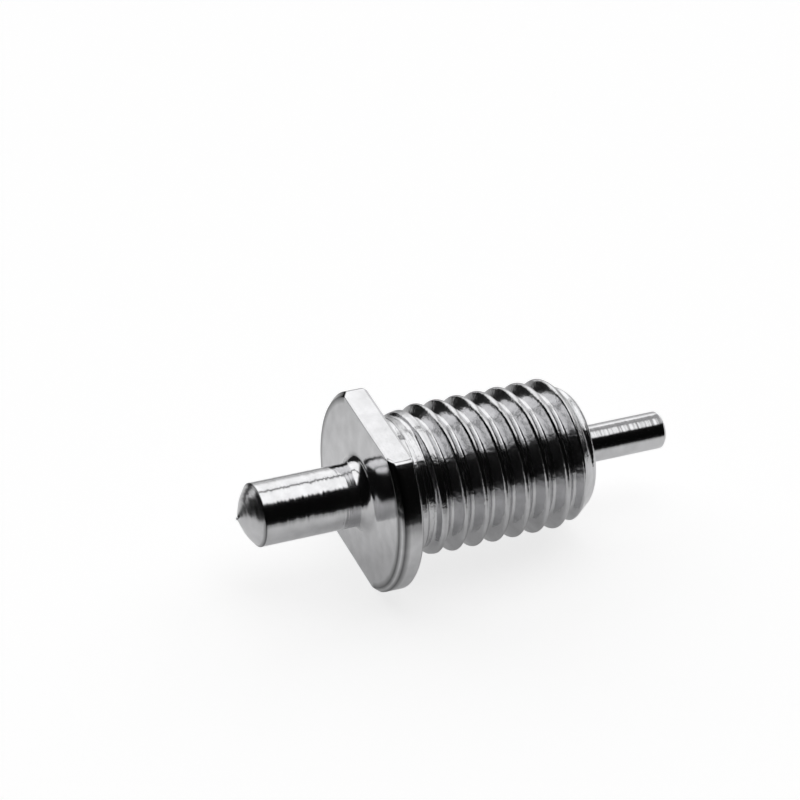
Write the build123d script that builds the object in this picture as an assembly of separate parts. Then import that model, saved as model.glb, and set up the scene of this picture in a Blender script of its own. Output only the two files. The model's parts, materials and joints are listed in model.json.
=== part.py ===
from build123d import *
import math
import os

# Wrench pin turned from one bar: a large pin, a flange with two wrench flats,
# a rolled M12 thread and a small pin. It is drawn on its own upright axis, with the flange's
# seat face at height 0 and the thread above it, and is then laid down as it comes to rest.

# Large pin, below the flange
large_pin_diameter = 5.0
large_pin_length = 8.7
tip_angle = 120.0
root_radius = 1.0

# Flange and its wrench flats
flange_diameter = 15.8
flange_thickness = 2.0
front_chamfer = 0.4
seat_chamfer = 0.2
across_flats = 12.8

# Thread, named by its nominal size, and how far its crest stays under that size
thread_size = 12.0
thread_pitch = 1.75
thread_angle = 60.0
crest_allowance = 0.16

# Where a crest crosses the side that the pin lies on, from the seat face
thread_start = -0.26

# Shank that carries the thread: plain neck, run-out and lead-in
shank_length = 16.2
neck_length = 0.9
runout_length = 2.7
lead_in_length = 1.75
lead_in_end_diameter = 9.32
shank_end_chamfer = 0.2

# Small pin, above the shank
small_pin_diameter = 3.0
small_pin_length = 8.0
small_pin_chamfer = 0.25

# Standard proportions of a metric thread, as shares of its pitch
pitch_depth_share = 0.6495
minor_depth_share = 1.2269
ridge_foot_share = 0.47

# How far a body used for cutting or joining reaches past what it meets
clear = 1.0

large_radius = large_pin_diameter / 2
small_radius = small_pin_diameter / 2
flange_radius = flange_diameter / 2
front_rim_radius = flange_radius - front_chamfer
seat_rim_radius = flange_radius - seat_chamfer
major_radius = (thread_size - crest_allowance) / 2
pitch_radius = (thread_size - pitch_depth_share * thread_pitch) / 2
minor_radius = (thread_size - minor_depth_share * thread_pitch) / 2
lead_in_radius = lead_in_end_diameter / 2
lead_in_start = shank_length - lead_in_length


def revolved(outline):
    """Solid of revolution about the pin's axis from an outline of radius and height."""
    with BuildSketch(Plane.XZ) as section:
        with BuildLine():
            Polyline(*outline, close=True)
        make_face()
    return revolve(section.sketch, Axis.Z)


def turned_bar():
    """Large pin, flange and small pin, with the small pin's bar running through the shank.

    The flange's two bevels are drawn as curves, so that the wrench flats cut them in smooth edges.
    """
    front = -flange_thickness
    shoulder = front - large_pin_length
    apex = shoulder - large_radius / math.tan(math.radians(tip_angle / 2))
    end = shank_length + small_pin_length
    with BuildSketch(Plane.XZ) as section:
        with BuildLine():
            Polyline((0, apex), (large_radius, shoulder), (large_radius, front - root_radius))
            RadiusArc((large_radius, front - root_radius), (large_radius + root_radius, front), root_radius)
            Line((large_radius + root_radius, front), (front_rim_radius, front))
            Bezier((front_rim_radius, front), (flange_radius, front + front_chamfer))
            Line((flange_radius, front + front_chamfer), (flange_radius, -seat_chamfer))
            Bezier((flange_radius, -seat_chamfer), (seat_rim_radius, 0))
            Polyline(
                (seat_rim_radius, 0),
                (small_radius, 0),
                (small_radius, end - small_pin_chamfer),
                (small_radius - small_pin_chamfer, end),
                (0, end),
                (0, apex),
            )
        make_face()
    return revolve(section.sketch, Axis.Z)


def wrench_flats():
    """Two blocks that leave the flange its width across flats."""
    size = flange_diameter + clear
    block = Box(size, size, flange_thickness + clear)
    shift = (across_flats + size) / 2
    return [Pos(side * shift, 0, -flange_thickness / 2) * block for side in (-1, 1)]


def thread_ridge():
    """Ridge of the thread's section, swept along a helix past both ends of the shank."""
    slope = math.tan(math.radians(thread_angle / 2))
    point = pitch_radius + thread_pitch / 4 / slope
    crest_half = (point - major_radius) * slope
    foot_half = ridge_foot_share * thread_pitch
    foot = point - foot_half / slope
    with BuildSketch(Plane.XZ) as section:
        with BuildLine():
            Polyline(
                (major_radius, -crest_half),
                (foot, -foot_half),
                (foot, foot_half),
                (major_radius, crest_half),
                close=True,
            )
        make_face()
    path = Helix(thread_pitch, shank_length - thread_start + thread_pitch, pitch_radius)
    return Pos(0, 0, thread_start) * sweep(section.sketch, path, is_frenet=True)


def shank_limits():
    """Space that the thread fills: it opens along the run-out and closes along the lead-in."""
    outer = major_radius + clear
    runout_rise = (outer - pitch_radius) * runout_length / (major_radius - pitch_radius)
    lead_in_rise = (outer - lead_in_radius) * lead_in_length / (major_radius - lead_in_radius)
    limits = revolved([
        (0, neck_length),
        (pitch_radius, neck_length),
        (outer, neck_length + runout_rise),
        (outer, shank_length - lead_in_rise),
        (lead_in_radius, shank_length),
        (0, shank_length),
    ])
    rim = limits.edges().sort_by(Axis.Z)[-1]
    return chamfer(rim, shank_end_chamfer)


def neck():
    """Plain neck at the seat face, whose surface falls to the thread's root along the run-out."""
    return revolved([
        (0, -flange_thickness / 2),
        (pitch_radius, -flange_thickness / 2),
        (pitch_radius, neck_length),
        (minor_radius, neck_length + runout_length),
        (0, neck_length + runout_length),
    ])


def threaded_shank():
    """Core and ridge joined, trimmed to the shank, and joined to the neck."""
    reach = shank_length + 2 * (thread_pitch + clear)
    middle = (shank_length + thread_start) / 2
    core = Pos(0, 0, middle) * Cylinder(minor_radius, reach + abs(thread_start) + thread_pitch)
    return ((core + thread_ridge()) & shank_limits()) + neck()


def laid_down(pin):
    """Lies on the seat-side edge of a flat and on the last whole crest, lowest point at height 0."""
    turns = math.floor((lead_in_start - thread_start) / thread_pitch)
    last_crest = thread_start + turns * thread_pitch
    tilt = math.degrees(math.atan2(across_flats / 2 - major_radius, last_crest))
    laid = Rot(0, 90 + tilt, 0) * pin
    box = laid.bounding_box()
    return Pos(-box.center().X, -box.center().Y, -box.min.Z) * laid


os.makedirs("parts", exist_ok=True)
wrench_pin = turned_bar() - wrench_flats() + threaded_shank()
export_step(laid_down(wrench_pin), "parts/wrench_pin.step")
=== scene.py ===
"""Wrench pin of bright plated steel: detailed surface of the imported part, its finish, light and camera."""

import json
import math

import bpy
import numpy as np
from mathutils import Matrix, Vector


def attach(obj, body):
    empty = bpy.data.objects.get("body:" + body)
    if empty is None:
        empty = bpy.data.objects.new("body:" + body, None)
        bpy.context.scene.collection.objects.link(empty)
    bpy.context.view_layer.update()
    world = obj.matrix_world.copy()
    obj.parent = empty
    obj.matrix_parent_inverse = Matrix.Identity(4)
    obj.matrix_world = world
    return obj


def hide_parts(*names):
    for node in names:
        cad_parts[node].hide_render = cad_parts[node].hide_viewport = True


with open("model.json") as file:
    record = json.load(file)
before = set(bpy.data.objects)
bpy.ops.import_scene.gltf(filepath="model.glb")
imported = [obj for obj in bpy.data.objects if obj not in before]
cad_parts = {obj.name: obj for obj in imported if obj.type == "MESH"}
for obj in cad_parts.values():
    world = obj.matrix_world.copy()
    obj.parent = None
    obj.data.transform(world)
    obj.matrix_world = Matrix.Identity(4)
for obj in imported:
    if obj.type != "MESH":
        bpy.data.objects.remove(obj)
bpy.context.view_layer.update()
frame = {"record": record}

MM = 0.001

# Sizes in millimetres and degrees, on the pin's own axes: x runs along it from the seat face, and z is
# square to the flats
LARGE_RADIUS = 2.5
LARGE_LENGTH = 8.7
TIP_ANGLE = 120.0
ROOT_RADIUS = 1.0
FLANGE_RADIUS = 7.9
FLANGE_THICKNESS = 2.0
FRONT_CHAMFER = 0.4
SEAT_CHAMFER = 0.2
HALF_FLATS = 6.4
PITCH = 1.75
FLANK_ANGLE = 30.0
MAJOR_RADIUS = 5.92
PITCH_RADIUS = 5.4317
MINOR_RADIUS = 4.9265
SHANK_LENGTH = 16.2
NECK_LENGTH = 0.9
RUNOUT_LENGTH = 2.7
LEAD_IN_LENGTH = 1.75
LEAD_IN_RADIUS = 4.66
SHANK_END_CHAMFER = 0.2
SMALL_RADIUS = 1.5
SMALL_LENGTH = 8.0
SMALL_CHAMFER = 0.25

# Where a crest crosses the side that faces +y
THREAD_START = 0.173

FRONT = -FLANGE_THICKNESS
SHOULDER = FRONT - LARGE_LENGTH
APEX = SHOULDER - LARGE_RADIUS / math.tan(math.radians(TIP_ANGLE / 2))
SMALL_END = SHANK_LENGTH + SMALL_LENGTH

# Stub that the parting tool leaves on the tip, and the blunter point round it, up to a soft knee
NIB_RADIUS = 0.13
NIB_LENGTH = 0.1
NIB_END_ROUND = 0.04
NIB_FOOT_ROUND = 0.03
POINT_ANGLE = 131.0
KNEE_RADIUS = 1.65
KNEE_ROUND = 4.0

# Rounds on the edges, and the stretch across a crest where its front round turns into its rear one
EDGE_ROUND = 0.1
END_ROUND = 0.08
CORNER_ROUND = 0.12
CREST_FRONT_ROUND = 0.17
CREST_REAR_ROUND = 0.4
CREST_TURN = (-0.1, 0.15)

# Widths over which the thread blends into the run-out, the neck and the lead-in
RUNOUT_BLEND = 0.06
NECK_BLEND = 0.12
LEAD_IN_BLEND = 0.08

# Fineness of the mesh round the axis: degrees at each side of a flange corner, and steps
CORNER_SPAN = 6.5
CORNER_STEPS = 24
FLAT_STEPS = 32
RIM_STEPS = 52

# Fineness along the outlines: steps of the rounds and the fillet, and the longest straight steps
ROUND_STEPS = 4
FILLET_STEPS = 12
FRONT_STEP = 0.45
REAR_STEP = 0.5

# Lines of the mesh that follow the thread: their places and counts within a pitch, from the middle of a
# crest, and the turns that run past each end of the shank
CREST_SPAN = 0.4
CREST_LINES = 13
FLANK_LINE = 0.52
ROOT_LINE = 0.64
ROOT_LINES = 8
SPARE_TURNS = 2

# Radius inside which the flats cut nothing, the distance at which points are one, and next to nothing
CUT_RADIUS = 5.0
JOIN_DISTANCE = 2e-4
TINY = 1e-6

# Places of the finishes and of the painted shade: ends and inner radius of the rolled skin, edges of the
# flats, reach of the painted dark edge lines, and the width of the seam's painted shade and its depth below
# the crest
ROLLED_START = 0.1
ROLLED_END = 0.3
ROLLED_RADIUS = 4.3
MILLED_EDGE = (0.3, 0.1)
FLANGE_MARGIN = 0.01
EDGE_LINE_CORE = 0.03
EDGE_LINE_WIDTH = 0.1
SEAM_WIDTH = 0.13
SEAM_DEPTH = 0.15

# Colour of the metal, how much darker the painted shade of its edge lines and seam and its clouds are, and
# the clouds a millimetre
METAL_COLOUR = (0.6, 0.6, 0.61)
EDGE_LINE_PAINTED_SHADE = 0.75
SEAM_PAINTED_SHADE = 0.2
CLOUD_SHADE = 0.4
CLOUD_SCALE = 0.9

# Roughness of each finish, and the stretch at the shoulder over which the point's own finish fades
TURNED_ROUGHNESS = 0.13
POINT_ROUGHNESS = 0.24
ROLLED_ROUGHNESS = 0.15
MILLED_ROUGHNESS = 0.12
POINT_FADE = 0.1

# Turning marks and mottled skin: marks a millimetre along and round the pin, heights in millimetres, and the
# share of the skin that the flats have
TURNING_MARKS = 2.2
TURNING_WAVER = 0.15
TURNING_HEIGHT = 0.016
MOTTLE_SCALE = 2.6
MOTTLE_HEIGHT = 0.025
MILLED_MOTTLE = 0.15

# Streaks of the turning: marks a millimetre along and round the pin, their tilt, the shares of it on the
# small pin and the point, and the stretch before the small pin where its share sets in
STREAK_MARKS = 6.0
STREAK_WAVER = 0.5
STREAK_TILT = 0.18
SMALL_STREAKS = 0.4
POINT_STREAKS = 3.0
SMALL_FADE = 1.0

# Layers in the noise of the tool marks, and in that of the skin and the clouds
MARK_DETAIL = 2
SKIN_DETAIL = 3

# Studio light: levels of the pale curtain and of the dark room. In the directions x, y, z from the pin, the
# curtain is where y + turn * x + reach * z is over 0, by the turn, reach and softness of each of its edges
CURTAIN_LEVEL = 1.5
ROOM_LEVEL = 0.003
CURTAIN_EDGES = {"front": (0.0, 0.48, 0.1), "right": (-0.32, 0.48, 0.08), "left": (1.0, 0.2, 0.1)}

# The curtain is dimmer at the horizon, over this span of z
HORIZON_SPAN = (-0.02, 0.4)
HORIZON_LEVEL = 0.36

# Dark gap in the curtain, along x: its height, half width and level change over the opening, it widens again
# over the growth, and then it ends
GAP_OPENING = (0.39, 0.43)
GAP_HEIGHTS = (0.785, 0.65)
GAP_HALF_WIDTHS = (-0.02, 0.105)
GAP_LEVELS = (0.03, 0.28)
GAP_GROWTH = (0.45, 0.5)
GAP_EXTRA = 0.14
GAP_END = 0.53
GAP_SOFT = (0.02, 0.08)

# Table: its width in millimetres, its own colour, and its glow in view and in reflections
FLOOR_WIDTH = 3000.0
FLOOR_COLOUR = 0.35
FLOOR_GLOW = 0.78

# Cards that only the metal mirrors, as painted reflections, by points in millimetres of the frame: a dark
# rim round the table, with its height at each point, a grey sheet inside the rim, which glows a little and
# fades along y as painted shade, and a plain sheet beyond it, which glows a little
FLAG_POINTS = ((42, 24, 6), (46, 0, 9), (50, -25, 9), (60, -60, 9), (0, -95, 9), (-70, -70, 9), (-90, 0, 9),
               (-36, 29, 7), (-32, 32, 17), (-20, 41, 17), (-6, 46, 10))
DARK_REFLECTION_COLOUR = 0.05
SHEET_HEIGHT = 0.02
SHEET_COLOUR = 0.8
SHEET_GLOW = 0.27
SHEET_FAR_FADE = (9, 45)
SHEET_FAR = 0.3
SHEET_NEAR_FADE = (-45, -12)
SHEET_NEAR = 0.5
FAR_POINTS = ((-6, 46), (42, 24), (120, 90), (0, 180))
FAR_COLOUR = 0.4
FAR_GLOW = 0.2

# Camera, as the photograph was taken: angles in degrees, lengths in millimetres, and the place in the image,
# in pixels, of the seat face's middle
IMAGE_SIZE = 800
SENSOR_WIDTH = 36.0
CAMERA_AZIMUTH = -27.661
CAMERA_ELEVATION = 39.173
CAMERA_ROLL = 6.331
CAMERA_DISTANCE = 260.0
CLIP_START = 10.0
FOCAL_PIXELS = 3362.1
SEAT_PIXEL = (382.33, 487.91)


def pin_axes():
    """Matrix that carries the pin's own millimetres to the frame's metres."""
    mounts = {m["name"]: m for m in frame["record"]["mounts"]}
    flat = mounts["upper_wrench_flat"]
    x_axis = Vector(mounts["small_pin"]["axis"])
    z_axis = Vector(flat["axis"])
    y_axis = z_axis.cross(x_axis)
    seat = Vector(flat["pos_m"]) - MM * HALF_FLATS * z_axis - MM * FRONT / 2 * x_axis
    turn = Matrix((x_axis, y_axis, z_axis)).transposed().to_4x4()
    return Matrix.Translation(seat) @ turn @ Matrix.Scale(MM, 4)


PIN = pin_axes()


def columns():
    """Angles round the axis, from +y towards +z, closer together where the flats meet the rim."""
    corner = math.asin(HALF_FLATS / FLANGE_RADIUS)
    narrow = math.radians(CORNER_SPAN)
    rim = 2 * corner - 2 * narrow
    flat = math.pi - 2 * corner - 2 * narrow
    flat_side = [(2 * narrow, CORNER_STEPS), (flat, FLAT_STEPS), (2 * narrow, CORNER_STEPS)]
    half_rim = [(rim / 2, RIM_STEPS // 2)]
    angles, start = [], 0.0
    for width, steps in half_rim + flat_side + [(rim, RIM_STEPS)] + flat_side + half_rim:
        angles += [start + width * k / steps for k in range(steps)]
        start += width
    return np.array(angles + [2 * math.pi])


ANGLES = columns()


def step(value, start, end):
    """Smooth step from 0 to 1."""
    share = np.clip((value - start) / (end - start), 0, 1)
    return share * share * (3 - 2 * share)


def smooth_min(a, b, width):
    """The lesser of two values, with a round where they meet."""
    h = np.clip(0.5 + 0.5 * (b - a) / width, 0, 1)
    return b * (1 - h) + a * h - width * h * (1 - h)


def arc(centre, radius, start, end, steps):
    """Points (x, r) on an arc of the outline, angles in degrees from +x towards outward."""
    return [(centre[0] + radius * math.cos(math.radians(a)), centre[1] + radius * math.sin(math.radians(a)))
            for a in np.linspace(start, end, steps + 1)]


def rounded(corner, before, after, radius):
    """Points that round an outline's corner between two neighbouring points."""
    c = np.array(corner, float)
    u = np.array(before, float) - c
    v = np.array(after, float) - c
    u /= np.linalg.norm(u)
    v /= np.linalg.norm(v)
    half = math.acos(np.clip(u @ v, -1, 1)) / 2
    reach = radius / math.tan(half)
    middle = c + (u + v) / np.linalg.norm(u + v) * radius / math.sin(half)
    p, q = c + u * reach - middle, c + v * reach - middle
    turn = math.atan2(p[0] * q[1] - p[1] * q[0], p @ q)
    points = []
    for k in range(ROUND_STEPS + 1):
        a = turn * k / ROUND_STEPS
        points.append((middle[0] + p[0] * math.cos(a) - p[1] * math.sin(a),
                       middle[1] + p[0] * math.sin(a) + p[1] * math.cos(a)))
    return points


def outline(*corners):
    """Outline through corners (x, r, round), each rounded where its own radius isn't 0."""
    points = [corners[0][:2]]
    for before, corner, after in zip(corners, corners[1:], corners[2:]):
        if corner[2]:
            points += rounded(corner[:2], before[:2], after[:2], corner[2])
        else:
            points.append(corner[:2])
    return points + [corners[-1][:2]]


def divided(points, longest):
    """The same outline with long straight stretches cut into equal steps."""
    full = [points[0]]
    for a, b in zip(points, points[1:]):
        steps = max(1, math.ceil(math.dist(a, b) / longest))
        full += [(a[0] + (b[0] - a[0]) * k / steps, a[1] + (b[1] - a[1]) * k / steps)
                 for k in range(1, steps + 1)]
    return full


def point_outline():
    """Outline of the stub, the point and the large pin, up to the root fillet."""
    foot = APEX + NIB_RADIUS / math.tan(math.radians(TIP_ANGLE / 2))
    knee = foot + (KNEE_RADIUS - NIB_RADIUS) / math.tan(math.radians(POINT_ANGLE / 2))
    return outline(
        (foot - NIB_LENGTH, 0.0, 0),
        (foot - NIB_LENGTH, NIB_RADIUS, NIB_END_ROUND),
        (foot, NIB_RADIUS, NIB_FOOT_ROUND),
        (knee, KNEE_RADIUS, KNEE_ROUND),
        (SHOULDER, LARGE_RADIUS, EDGE_ROUND),
        (SHOULDER + EDGE_LINE_WIDTH, LARGE_RADIUS, 0),
        (FRONT - ROOT_RADIUS, LARGE_RADIUS, 0),
    )


def flange_outline():
    """Outline of the flange, from the root fillet to the neck's end."""
    return outline(
        (FRONT, LARGE_RADIUS + ROOT_RADIUS, 0),
        (FRONT, FLANGE_RADIUS - FRONT_CHAMFER, EDGE_ROUND),
        (FRONT + FRONT_CHAMFER, FLANGE_RADIUS, EDGE_ROUND),
        (-SEAT_CHAMFER, FLANGE_RADIUS, EDGE_ROUND),
        (0.0, FLANGE_RADIUS - SEAT_CHAMFER, EDGE_ROUND),
        (0.0, PITCH_RADIUS, EDGE_ROUND),
        (NECK_LENGTH, PITCH_RADIUS, 0),
    )


def front_outline():
    """Outline from the tip to the neck's end."""
    root = arc((FRONT - ROOT_RADIUS, LARGE_RADIUS + ROOT_RADIUS), ROOT_RADIUS, -90, 0, FILLET_STEPS)
    return divided(point_outline()[:-1] + root[:-1] + flange_outline(), FRONT_STEP)


def rear_outline():
    """Outline from the shank's end chamfer over its end face and the small pin."""
    edge = LEAD_IN_RADIUS + (MAJOR_RADIUS - LEAD_IN_RADIUS) * SHANK_END_CHAMFER / LEAD_IN_LENGTH
    corners = outline(
        (SHANK_LENGTH - SHANK_END_CHAMFER, edge, 0),
        (SHANK_LENGTH, edge - SHANK_END_CHAMFER, END_ROUND),
        (SHANK_LENGTH, SMALL_RADIUS, EDGE_ROUND),
        (SMALL_END - SMALL_CHAMFER, SMALL_RADIUS, END_ROUND),
        (SMALL_END, SMALL_RADIUS - SMALL_CHAMFER, END_ROUND),
        (SMALL_END, 0.0, 0),
    )
    return divided(corners, REAR_STEP)


def flat_height(x):
    """Half the width across the flats at each station, less the rounds at the flats' two long edges."""
    depth = np.minimum(np.clip(x - FRONT, 0, EDGE_ROUND), np.clip(-x, 0, EDGE_ROUND))
    return HALF_FLATS - EDGE_ROUND + np.sqrt(np.maximum(EDGE_ROUND ** 2 - (EDGE_ROUND - depth) ** 2, 0))


def thread_profile(s):
    """Radius of the thread at a distance s along the axis from the middle of a crest."""
    flank = math.radians(FLANK_ANGLE)
    point = PITCH_RADIUS + PITCH / 4 / math.tan(flank)
    valley = PITCH_RADIUS - PITCH / 4 / math.tan(flank)
    root_round = (MINOR_RADIUS - valley) / (1 / math.sin(flank) - 1)
    root_centre = valley + root_round / math.sin(flank)
    s = (s + PITCH / 2) % PITCH - PITCH / 2
    crest_round = CREST_FRONT_ROUND + (CREST_REAR_ROUND - CREST_FRONT_ROUND) * step(s, *CREST_TURN)
    s = np.abs(s)
    root = root_centre - np.sqrt(np.maximum(root_round ** 2 - (PITCH / 2 - s) ** 2, 0))
    ridge = smooth_min(point - s / math.tan(flank), MAJOR_RADIUS, crest_round)
    return np.where(PITCH / 2 - s < root_round * math.cos(flank), root, ridge)


def shank_radius(x, angle):
    """Radius of the shank: neck, run-out, thread and lead-in."""
    thread = thread_profile(x - THREAD_START - PITCH * angle / (2 * math.pi))
    runout = PITCH_RADIUS + (MAJOR_RADIUS - PITCH_RADIUS) * (x - NECK_LENGTH) / RUNOUT_LENGTH
    neck = PITCH_RADIUS - (PITCH_RADIUS - MINOR_RADIUS) * (x - NECK_LENGTH) / RUNOUT_LENGTH
    start = SHANK_LENGTH - LEAD_IN_LENGTH
    lead_in = MAJOR_RADIUS - (MAJOR_RADIUS - LEAD_IN_RADIUS) * (x - start) / LEAD_IN_LENGTH
    body = smooth_min(thread, runout, RUNOUT_BLEND)
    body = -smooth_min(-body, -neck, NECK_BLEND)
    return smooth_min(body, lead_in, LEAD_IN_BLEND)


def phases():
    """Places of the lines within one turn of the thread, close together on the crest and in the root."""
    crest = np.linspace(-CREST_SPAN, CREST_SPAN, CREST_LINES)
    root = np.linspace(ROOT_LINE, PITCH - ROOT_LINE, ROOT_LINES)
    return np.concatenate([crest, [FLANK_LINE], root, [PITCH - FLANK_LINE]])


def rolled_share(x, r):
    """Share of the thread's rolled skin, which fades at the neck and at the shank's end."""
    neck_side = step(x, ROLLED_START, NECK_LENGTH)
    end_side = 1 - step(x, SHANK_LENGTH - ROLLED_END, SHANK_LENGTH)
    return neck_side * step(r, ROLLED_RADIUS, LEAD_IN_RADIUS) * end_side


def milled_share(x, height):
    """Share of the flange's milled flats, by the height over the plane through the axis."""
    flanged = (x > FRONT - FLANGE_MARGIN) & (x < FLANGE_MARGIN)
    return flanged * step(height, HALF_FLATS - MILLED_EDGE[0], HALF_FLATS - MILLED_EDGE[1])


def painted_edge_shade_share(x, r):
    """Share of the painted shade lines along both edges of the flange's front bevel and the large pin's
    shoulder, which stand in for the dark reflections of these rounded edges.
    """
    inner = np.hypot(x - FRONT, r - FLANGE_RADIUS + FRONT_CHAMFER)
    outer = np.hypot(x - FRONT - FRONT_CHAMFER, r - FLANGE_RADIUS)
    shoulder = np.hypot(x - SHOULDER, r - LARGE_RADIUS)
    return 1 - step(np.minimum(np.minimum(inner, outer), shoulder), EDGE_LINE_CORE, EDGE_LINE_WIDTH)


def painted_seam_share(x, r, turn):
    """Share of the painted shade of the faint seam along the thread's crests, by the part of a turn round
    the axis.
    """
    off_crest = (x - THREAD_START - PITCH * turn + PITCH / 2) % PITCH - PITCH / 2
    return np.exp(-(off_crest / SEAM_WIDTH) ** 2) * step(r, PITCH_RADIUS, MAJOR_RADIUS - SEAM_DEPTH)


def finish_and_painted_shade_shares(points):
    """Shares of the rolled skin, the milled flats, and the painted shade of the edge lines and of the seam
    at each point.
    """
    x, y, z = points.T
    r = np.hypot(y, z)
    turn = np.arctan2(z, y) / (2 * math.pi) % 1
    rolled = rolled_share(x, r)
    milled = milled_share(x, np.abs(z))
    # Painted shade: dark lines along the rounded edges, standing in for their dark reflections
    line = painted_edge_shade_share(x, r) * (1 - milled)
    # Painted shade along the crests' seam
    return np.stack([rolled, milled, line, rolled * painted_seam_share(x, r, turn)], -1)


def ring_of(face):
    """Corners of a face without doubled ones, or nothing where too few are left for a face."""
    ring = [int(corner) for k, corner in enumerate(face) if corner != face[k - 1]]
    return ring if len(ring) > 2 and len(set(ring)) == len(ring) else []


class Surface:
    """Strips of points round the pin, gathered into one mesh."""

    def __init__(self):
        self.points, self.faces, self.count = [], [], 0

    def strip(self, x, r, angle):
        """Adds a grid: one row per line of the arrays x and r, one column per angle."""
        x, r, angle = np.broadcast_arrays(x, r, angle)
        self.points.append(np.stack([x, r * np.cos(angle), r * np.sin(angle)], -1).reshape(-1, 3))
        rows, cols = x.shape
        index = self.count + np.arange(rows * cols).reshape(rows, cols)
        quads = np.stack([index[:-1, :-1], index[:-1, 1:], index[1:, 1:], index[1:, :-1]], -1)
        self.faces.append(quads.reshape(-1, 4))
        self.count += rows * cols

    def mesh(self, name):
        """One mesh of all strips, in the frame's metres, with each point's place, finish and painted shade.
        """
        points = np.concatenate(self.points)
        keys = np.round(points / JOIN_DISTANCE).astype(np.int64)
        _, first, joined = np.unique(keys, axis=0, return_index=True, return_inverse=True)
        points = points[first]
        rings = [ring_of(face) for face in joined.reshape(-1)[np.concatenate(self.faces)]]
        mesh = bpy.data.meshes.new(name)
        mesh.from_pydata([Vector(p) for p in points], [], [ring for ring in rings if ring])
        place = mesh.attributes.new("place", "FLOAT_VECTOR", "POINT")
        place.data.foreach_set("vector", points.astype(np.float32).ravel())
        # The finish attribute also carries painted shade: the edge lines and the crests' seam
        finish = mesh.attributes.new("finish", "FLOAT_COLOR", "POINT")
        finish.data.foreach_set("color", finish_and_painted_shade_shares(points).astype(np.float32).ravel())
        mesh.transform(PIN)
        mesh.update()
        return mesh


def turned_front(surface):
    """Point, large pin, flange and neck, with the two wrench flats."""
    profile = np.array(front_outline())
    x, r = profile[:, :1], profile[:, 1:]
    limit = flat_height(x) / np.maximum(np.abs(np.sin(ANGLES)), TINY)
    flanged = (x > FRONT - TINY) & (x < TINY) & (r > CUT_RADIUS)
    surface.strip(x, np.where(flanged, smooth_min(r, limit, CORNER_ROUND), r), ANGLES)


def threaded_shank(surface):
    """Shank on lines that follow the thread's helix, from the neck to the end face."""
    end = SHANK_LENGTH - SHANK_END_CHAMFER
    turns = range(-SPARE_TURNS, math.ceil(end / PITCH) + SPARE_TURNS)
    lines = np.concatenate([THREAD_START + PITCH * k + phases() for k in turns])[:, None]
    x = np.clip(lines + PITCH * ANGLES / (2 * math.pi), NECK_LENGTH, end)
    surface.strip(x, shank_radius(x, ANGLES), ANGLES)


def turned_rear(surface):
    """End face of the shank, and the small pin."""
    profile = np.array(rear_outline())
    surface.strip(profile[:, :1], profile[:, 1:], ANGLES)


class Nodes:
    """Short ways to add nodes to a material or a world, and to join them."""

    def __init__(self, owner):
        owner.use_nodes = True
        self.tree = owner.node_tree

    def new(self, kind):
        """New node of a kind."""
        return self.tree.nodes.new("ShaderNode" + kind)

    def feed(self, socket, value):
        """Links another node's output to a socket, or sets a plain value on it."""
        if isinstance(value, bpy.types.NodeSocket):
            self.tree.links.new(value, socket)
        else:
            socket.default_value = value

    def maths(self, operation, *values):
        """Result of a maths node."""
        node = self.new("Math")
        node.operation = operation
        for socket, value in zip(node.inputs, values):
            self.feed(socket, value)
        return node.outputs["Value"]

    def product(self, first, *others):
        """Values multiplied together."""
        for value in others:
            first = self.maths("MULTIPLY", first, value)
        return first

    def vector_maths(self, operation, *values):
        """Result of a maths node for whole vectors."""
        node = self.new("VectorMath")
        node.operation = operation
        for socket, value in zip(node.inputs, values):
            self.feed(socket, value)
        return node.outputs["Vector"]

    def scaled(self, vector, scale):
        """Vector or colour times a number."""
        node = self.new("VectorMath")
        node.operation = "SCALE"
        self.feed(node.inputs["Vector"], vector)
        self.feed(node.inputs["Scale"], scale)
        return node.outputs["Vector"]

    def ramp(self, value, start, end, low=0.0, high=1.0):
        """Smooth step of a value from low to high."""
        node = self.new("MapRange")
        node.interpolation_type = "SMOOTHSTEP"
        names = ("Value", "From Min", "From Max", "To Min", "To Max")
        for name, given in zip(names, (value, start, end, low, high)):
            self.feed(node.inputs[name], given)
        return node.outputs["Result"]

    def parts(self, vector):
        """The three parts x, y and z of a vector."""
        node = self.new("SeparateXYZ")
        self.feed(node.inputs["Vector"], vector)
        return node.outputs

    def combined(self, *parts):
        """Vector made of its three parts."""
        node = self.new("CombineXYZ")
        for socket, part in zip(node.inputs, parts):
            self.feed(socket, part)
        return node.outputs["Vector"]

    def channels(self, colour):
        """The three channels of a colour."""
        node = self.new("SeparateColor")
        self.feed(node.inputs["Color"], colour)
        return node.outputs

    def attribute(self, name, output):
        """One of the mesh's own values."""
        node = self.new("Attribute")
        node.attribute_name = name
        return node.outputs[output]

    def noise(self, vector, scale, detail):
        """Noise from 0 to 1."""
        node = self.new("TexNoise")
        self.feed(node.inputs["Vector"], vector)
        self.feed(node.inputs["Scale"], scale)
        self.feed(node.inputs["Detail"], detail)
        return node.outputs["Fac"]


def steel_colour(nodes, place, line, seam):
    """Colour of the plating, with its faint clouds, and the painted shade of the edge lines and of the
    crest's seam.
    """
    # Painted shade: the edge lines darken the colour where the rounded edges reflect dark
    edge_painted_shade = nodes.maths("SUBTRACT", 1.0, nodes.product(line, EDGE_LINE_PAINTED_SHADE))
    # Painted shade along the crests' seam
    seam_painted_shade = nodes.maths("SUBTRACT", 1.0, nodes.product(seam, SEAM_PAINTED_SHADE))
    clouds = nodes.noise(place, CLOUD_SCALE, SKIN_DETAIL)
    cloud_shade = nodes.maths("MULTIPLY_ADD", clouds, -CLOUD_SHADE, 1 + CLOUD_SHADE / 2)
    return nodes.scaled(METAL_COLOUR, nodes.product(edge_painted_shade, seam_painted_shade, cloud_shade))


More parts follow.
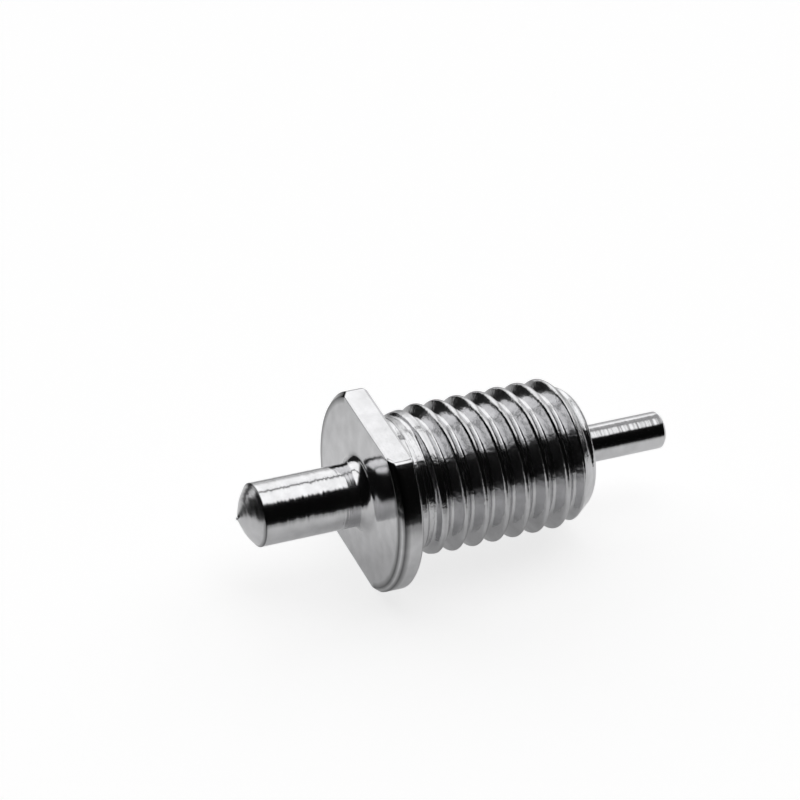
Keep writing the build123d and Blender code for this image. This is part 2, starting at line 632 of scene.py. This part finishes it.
def steel_roughness(nodes, x, rolled, milled):
    """Roughness of the turned metal, the rolled thread, the milled flats and the point."""
    point = nodes.ramp(x, SHOULDER, SHOULDER + POINT_FADE, 1.0, 0.0)
    rough = TURNED_ROUGHNESS
    finishes = ((rolled, ROLLED_ROUGHNESS), (milled, MILLED_ROUGHNESS), (point, POINT_ROUGHNESS))
    for share, roughness in finishes:
        rough = nodes.maths("MULTIPLY_ADD", share, roughness - TURNED_ROUGHNESS, rough)
    return rough


def steel_bump(nodes, place, radius, rolled, milled):
    """Normal with the marks of the turning, and the mottled skin of the thread and, less, of the flats."""
    x, y, z = nodes.parts(place)
    rings = nodes.combined(nodes.product(nodes.maths("ADD", x, radius), TURNING_MARKS),
                           nodes.product(y, TURNING_WAVER), nodes.product(z, TURNING_WAVER))
    turned = nodes.maths("SUBTRACT", 1.0, nodes.maths("MAXIMUM", rolled, milled))
    skin = nodes.maths("MAXIMUM", rolled, nodes.product(milled, MILLED_MOTTLE))
    marks = nodes.product(nodes.noise(rings, 1.0, MARK_DETAIL), turned, TURNING_HEIGHT)
    mottle = nodes.product(nodes.noise(place, MOTTLE_SCALE, SKIN_DETAIL), skin, MOTTLE_HEIGHT)
    bump = nodes.new("Bump")
    nodes.feed(bump.inputs["Distance"], MM)
    nodes.feed(bump.inputs["Height"], nodes.maths("ADD", marks, mottle))
    return bump.outputs["Normal"]


def streak_tilt(nodes, place, radius):
    """Tilt of the fine streaks: less on the flange and the small pin, and more on the point."""
    x, y, z = nodes.parts(place)
    grain = nodes.combined(nodes.product(x, STREAK_MARKS), nodes.product(y, STREAK_WAVER),
                           nodes.product(z, STREAK_WAVER))
    tilt = nodes.maths("SUBTRACT", nodes.noise(grain, 1.0, MARK_DETAIL), 0.5)
    outward = nodes.maths("DIVIDE", LARGE_RADIUS, nodes.maths("MAXIMUM", radius, LARGE_RADIUS))
    small = nodes.ramp(x, SHANK_LENGTH - SMALL_FADE, SHANK_LENGTH, 1.0, SMALL_STREAKS)
    point = nodes.ramp(x, SHOULDER - POINT_FADE, SHOULDER, POINT_STREAKS, 1.0)
    return nodes.product(tilt, STREAK_TILT, outward, small, point)


def streaked(nodes, normal, tilt):
    """Normal tilted to and fro round the axis, as the fine streaks of the turning tilt it."""
    axis = PIN.to_3x3().normalized() @ Vector((1, 0, 0))
    sideways = nodes.vector_maths("CROSS_PRODUCT", axis, normal)
    return nodes.vector_maths("NORMALIZE", nodes.vector_maths("ADD", normal, nodes.scaled(sideways, tilt)))


def plated_steel():
    """Bright plated steel: turned pins and flange, milled flats, rolled thread with a mottled skin."""
    material = bpy.data.materials.new("plated_steel")
    nodes = Nodes(material)
    place = nodes.attribute("place", "Vector")
    x, y, z = nodes.parts(place)
    squares = nodes.maths("ADD", nodes.maths("POWER", y, 2.0), nodes.maths("POWER", z, 2.0))
    radius = nodes.maths("SQRT", squares)
    # The finish's third channel and its alpha carry painted shade: the edge lines and the seam
    rolled, milled, line = nodes.channels(nodes.attribute("finish", "Color"))
    seam = nodes.attribute("finish", "Alpha")
    normal = steel_bump(nodes, place, radius, rolled, milled)
    shader = nodes.tree.nodes["Principled BSDF"]
    nodes.feed(shader.inputs["Base Color"], steel_colour(nodes, place, line, seam))
    nodes.feed(shader.inputs["Metallic"], 1.0)
    nodes.feed(shader.inputs["Roughness"], steel_roughness(nodes, x, rolled, milled))
    nodes.feed(shader.inputs["Normal"], streaked(nodes, normal, streak_tilt(nodes, place, radius)))
    return material


def matt(name, colour, glow):
    """Matt grey material, which may glow a little."""
    material = bpy.data.materials.new(name)
    material.use_nodes = True
    shader = material.node_tree.nodes["Principled BSDF"]
    shader.inputs["Base Color"].default_value = (colour, colour, colour, 1)
    shader.inputs["Roughness"].default_value = 1.0
    shader.inputs["Specular IOR Level"].default_value = 0.0
    shader.inputs["Emission Color"].default_value = (1, 1, 1, 1)
    shader.inputs["Emission Strength"].default_value = glow
    return material


def add_object(name, data):
    """New object of the scene."""
    item = bpy.data.objects.new(name, data)
    bpy.context.scene.collection.objects.link(item)
    return item


def build_pin():
    """The whole pin as one detailed piece, in place of its solid."""
    surface = Surface()
    turned_front(surface)
    threaded_shank(surface)
    turned_rear(surface)
    mesh = surface.mesh("wrench_pin_detailed")
    mesh.shade_smooth()
    mesh.materials.append(plated_steel())
    pin = add_object("wrench_pin_detailed", mesh)
    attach(pin, "root")
    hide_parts("wrench_pin")
    pin.modifiers.new("weighted_normals", "WEIGHTED_NORMAL")


def build_camera():
    """Camera at the photograph's place, looking as it looked."""
    azimuth, elevation = math.radians(CAMERA_AZIMUTH), math.radians(CAMERA_ELEVATION)
    back = Vector((math.sin(azimuth) * math.cos(elevation), -math.cos(azimuth) * math.cos(elevation),
                   math.sin(elevation)))
    right = Vector((math.cos(azimuth), math.sin(azimuth), 0))
    up = back.cross(right)
    axes = Matrix((right, up, back)).transposed() @ Matrix.Rotation(math.radians(CAMERA_ROLL), 3, "Z")
    middle = IMAGE_SIZE / 2
    ray = Vector(((SEAT_PIXEL[0] - middle) / FOCAL_PIXELS, -(SEAT_PIXEL[1] - middle) / FOCAL_PIXELS, -1))
    aim = ray.rotation_difference(Vector((0, 0, -1))).to_matrix()
    camera = bpy.data.cameras.new("camera")
    camera.sensor_width = SENSOR_WIDTH
    camera.lens = FOCAL_PIXELS * SENSOR_WIDTH / IMAGE_SIZE
    camera.clip_start = CLIP_START * MM
    holder = add_object("camera", camera)
    turn = (PIN.to_3x3().normalized() @ axes @ aim).to_4x4()
    holder.matrix_world = Matrix.Translation(PIN @ (back * CAMERA_DISTANCE)) @ turn
    bpy.context.scene.camera = holder


def build_floor():
    """Pale table, white by its glow in view and in reflections, which keeps the pin's shadow."""
    mesh = bpy.data.meshes.new("floor")
    half = FLOOR_WIDTH / 2 * MM
    corners = [(-half, -half, 0), (half, -half, 0), (half, half, 0), (-half, half, 0)]
    mesh.from_pydata(corners, [], [(0, 1, 2, 3)])
    material = matt("floor", FLOOR_COLOUR, 0.0)
    nodes = Nodes(material)
    rays = nodes.new("LightPath").outputs
    seen = nodes.maths("MAXIMUM", rays["Is Camera Ray"], rays["Is Glossy Ray"])
    seen = nodes.maths("MAXIMUM", seen, rays["Is Transmission Ray"])
    shader = nodes.tree.nodes["Principled BSDF"]
    nodes.feed(shader.inputs["Emission Strength"], nodes.product(seen, FLOOR_GLOW))
    mesh.materials.append(material)
    add_object("floor", mesh)


def build_card(name, points, faces, colour, glow):
    """Card that only the metal mirrors, a painted reflection."""
    mesh = bpy.data.meshes.new(name)
    mesh.from_pydata([Vector(p) * MM for p in points], [], faces)
    mesh.materials.append(matt(name, colour, glow))
    card = add_object(name, mesh)
    card.visible_camera = False
    card.visible_diffuse = False
    card.visible_shadow = False
    return card


def fade_sheet(sheet):
    """Makes the grey sheet darker towards its near and far edges, as painted shade in the metal's
    reflections.
    """
    nodes = Nodes(sheet.data.materials[0])
    y = nodes.parts(nodes.new("TexCoord").outputs["Object"])["Y"]
    far = nodes.ramp(y, SHEET_FAR_FADE[0] * MM, SHEET_FAR_FADE[1] * MM, 1.0, SHEET_FAR)
    near = nodes.ramp(y, SHEET_NEAR_FADE[0] * MM, SHEET_NEAR_FADE[1] * MM, SHEET_NEAR, 1.0)
    fade = nodes.product(far, near)
    shader = nodes.tree.nodes["Principled BSDF"]
    nodes.feed(shader.inputs["Base Color"], nodes.product(fade, SHEET_COLOUR))
    nodes.feed(shader.inputs["Emission Strength"], nodes.product(fade, SHEET_GLOW))


def build_cards():
    """Painted reflections: the dark rim round the table, the grey sheet inside it, and the plain sheet
    beyond.
    """
    count = len(FLAG_POINTS)
    foot = [(x, y, SHEET_HEIGHT) for x, y, _ in FLAG_POINTS]
    walls = [(k, k + 1, count + k + 1, count + k) for k in range(count - 1)]
    # Painted dark reflection, seen only by the metal
    build_card("dark_reflection_rim", foot + list(FLAG_POINTS), walls, DARK_REFLECTION_COLOUR, 0.0)
    far = [(x, y, SHEET_HEIGHT) for x, y in FAR_POINTS]
    build_card("far_sheet", far, [tuple(range(len(far)))], FAR_COLOUR, FAR_GLOW)
    # Painted reflection of a shaded table: glowing, and darker towards its edges
    fade_sheet(build_card("sheet", foot, [tuple(range(count))], SHEET_COLOUR, SHEET_GLOW))


def curtain_share(nodes, x, y, z):
    """Share of the curtain in a direction: 1 on it, and 0 past its soft edges."""
    shares = []
    for turn, reach, soft in CURTAIN_EDGES.values():
        side = nodes.maths("ADD", nodes.product(x, turn), nodes.maths("ADD", y, nodes.product(z, reach)))
        shares.append(nodes.ramp(side, -soft, soft))
    return nodes.product(*shares)


def gap_share(nodes, x, z):
    """Share of the curtain's light that is left in its dark gap: 1 outside the gap."""
    height = nodes.ramp(x, *GAP_OPENING, *GAP_HEIGHTS)
    half_width = nodes.ramp(x, *GAP_OPENING, *GAP_HALF_WIDTHS)
    half_width = nodes.maths("ADD", half_width, nodes.ramp(x, *GAP_GROWTH, 0.0, GAP_EXTRA))
    off_gap = nodes.maths("ABSOLUTE", nodes.maths("SUBTRACT", z, height))
    off_gap = nodes.maths("SUBTRACT", off_gap, half_width)
    off_gap = nodes.maths("MAXIMUM", off_gap, nodes.maths("SUBTRACT", x, GAP_END))
    level = nodes.ramp(x, *GAP_OPENING, *GAP_LEVELS)
    return nodes.maths("MAXIMUM", nodes.ramp(off_gap, *GAP_SOFT), level)


def build_world():
    """Studio round the pin: a pale curtain behind and over it, and a dark room on the camera's side."""
    world = bpy.data.worlds.new("studio")
    bpy.context.scene.world = world
    nodes = Nodes(world)
    nodes.tree.nodes.clear()
    x, y, z = nodes.parts(nodes.new("TexCoord").outputs["Generated"])
    horizon = nodes.ramp(z, *HORIZON_SPAN, HORIZON_LEVEL, 1.0)
    level = nodes.product(curtain_share(nodes, x, y, z), horizon, gap_share(nodes, x, z))
    level = nodes.maths("MULTIPLY_ADD", level, CURTAIN_LEVEL - ROOM_LEVEL, ROOM_LEVEL)
    background = nodes.new("Background")
    nodes.feed(background.inputs["Color"], level)
    nodes.feed(nodes.new("OutputWorld").inputs["Surface"], background.outputs["Background"])


build_camera()
build_floor()
build_cards()
build_world()
build_pin()
bpy.context.scene.view_settings.view_transform = "Standard"
